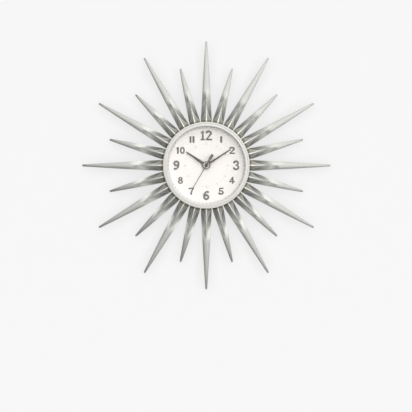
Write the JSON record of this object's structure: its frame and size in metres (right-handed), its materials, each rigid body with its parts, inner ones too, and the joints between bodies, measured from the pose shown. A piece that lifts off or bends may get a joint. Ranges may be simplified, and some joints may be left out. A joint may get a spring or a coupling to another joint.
{
  "type": "sunburst wall clock",
  "caption": "Round quartz wall clock with a domed lens and a sunburst of long and short tapered rays, hung from a keyhole plate.",
  "frame": {"origin": "on the hand axis, in the plane of the wall that the rear rim rests on", "axes": "+Z towards twelve o'clock, +X towards three o'clock, the dial faces -Y and the wall is on the +Y side"},
  "size_m": [0.43, 0.0385, 0.43],
  "materials": {
    "ray_finish": "satin",
    "silver_metal": "satin",
    "clear_lens": "gloss",
    "dial_paper": "matte",
    "black_plastic": "matte",
    "white_plastic": "matte",
    "gear_plastic": "satin",
    "zinc_steel": "satin",
    "nickel_strip": "gloss",
    "brass_part": "satin",
    "black_rubber": "matte",
    "green_board": "satin",
    "copper_winding": "gloss",
    "battery_jacket": "gloss",
    "hand_metal": "satin",
    "second_hand_metal": "satin"
  },
  "bodies": {
    "case": {"long_ray_01": "ray_finish", "long_ray_02": "ray_finish", "long_ray_03": "ray_finish", "long_ray_04": "ray_finish", "long_ray_05": "ray_finish", "long_ray_06": "ray_finish", "long_ray_07": "ray_finish", "long_ray_08": "ray_finish", "long_ray_09": "ray_finish", "long_ray_10": "ray_finish", "long_ray_11": "ray_finish", "long_ray_12": "ray_finish", "short_ray_01": "ray_finish", "short_ray_02": "ray_finish", "short_ray_03": "ray_finish", "short_ray_04": "ray_finish", "short_ray_05": "ray_finish", "short_ray_06": "ray_finish", "short_ray_07": "ray_finish", "short_ray_08": "ray_finish", "short_ray_09": "ray_finish", "short_ray_10": "ray_finish", "short_ray_11": "ray_finish", "short_ray_12": "ray_finish", "case_shell": "black_plastic", "retaining_ring": "zinc_steel", "bezel": "silver_metal", "lens": "clear_lens", "spacer_ring": "white_plastic", "dial_plate": "zinc_steel", "dial_face": "dial_paper", "case_screws": "zinc_steel", "wall_hanger": "zinc_steel", "movement_front_case": "black_plastic", "movement_rear_cover": "black_plastic", "middle_plate": "white_plastic", "mounting_bush": "brass_part", "bush_nut": "brass_part", "rubber_washer": "black_rubber", "circuit_board": "green_board", "quartz_crystal": "zinc_steel", "coil_bobbin": "white_plastic", "coil_winding": "copper_winding", "stator": "zinc_steel", "positive_contact": "nickel_strip", "negative_contact": "nickel_strip"},
    "second_hand_body": {"second_hand": "second_hand_metal", "second_hand_cap": "black_plastic", "seconds_wheel": "gear_plastic"},
    "intermediate_body": {"intermediate_wheel": "gear_plastic"},
    "rotor_body": {"rotor": "black_plastic"},
    "third_body": {"third_wheel": "gear_plastic"},
    "centre_body": {"centre_wheel": "gear_plastic"},
    "minute_hand_body": {"minute_hand": "hand_metal", "cannon_pinion": "zinc_steel"},
    "minute_wheel_body": {"minute_wheel": "gear_plastic", "setting_knob": "black_plastic"},
    "hour_hand_body": {"hour_hand": "hand_metal", "hour_wheel": "brass_part"},
    "battery_body": {"battery": "battery_jacket"}
  },
  "joints": [
    {"name": "second_hand_turn", "type": "hinge", "parent": "case", "child": "second_hand_body", "pos_m": [0, 0, 0], "axis": [0, 1, 0], "continuous": true},
    {"name": "intermediate_turn", "type": "hinge", "parent": "case", "child": "intermediate_body", "pos_m": [0.00921, 0, 0.00335], "axis": [0, 1, 0], "continuous": true},
    {"name": "rotor_turn", "type": "hinge", "parent": "case", "child": "rotor_body", "pos_m": [0.01597, 0, 0.00089], "axis": [0, 1, 0], "continuous": true},
    {"name": "third_turn", "type": "hinge", "parent": "case", "child": "third_body", "pos_m": [-0.00721, 0, 0.00721], "axis": [0, 1, 0], "continuous": true},
    {"name": "centre_turn", "type": "hinge", "parent": "case", "child": "centre_body", "pos_m": [0, 0, 0], "axis": [0, 1, 0], "continuous": true},
    {"name": "minute_hand_turn", "type": "hinge", "parent": "case", "child": "minute_hand_body", "pos_m": [0, 0, 0], "axis": [0, 1, 0], "continuous": true},
    {"name": "minute_wheel_turn", "type": "hinge", "parent": "case", "child": "minute_wheel_body", "pos_m": [0.00311, 0, 0.01159], "axis": [0, 1, 0], "continuous": true},
    {"name": "hour_hand_turn", "type": "hinge", "parent": "case", "child": "hour_hand_body", "pos_m": [0, 0, 0], "axis": [0, 1, 0], "continuous": true},
    {"name": "battery_slide", "type": "slide", "parent": "case", "child": "battery_body", "axis": [0, 1, 0], "range_m": [0, 0.04]}
  ],
  "couplings": [
    {"joint": "intermediate_turn", "follows": "second_hand_turn", "ratio": -6},
    {"joint": "rotor_turn", "follows": "second_hand_turn", "ratio": 30},
    {"joint": "third_turn", "follows": "second_hand_turn", "ratio": -0.13333},
    {"joint": "centre_turn", "follows": "second_hand_turn", "ratio": 0.016667},
    {"joint": "minute_wheel_turn", "follows": "minute_hand_turn", "ratio": -0.33333},
    {"joint": "hour_hand_turn", "follows": "minute_hand_turn", "ratio": 0.083333}
  ]
}
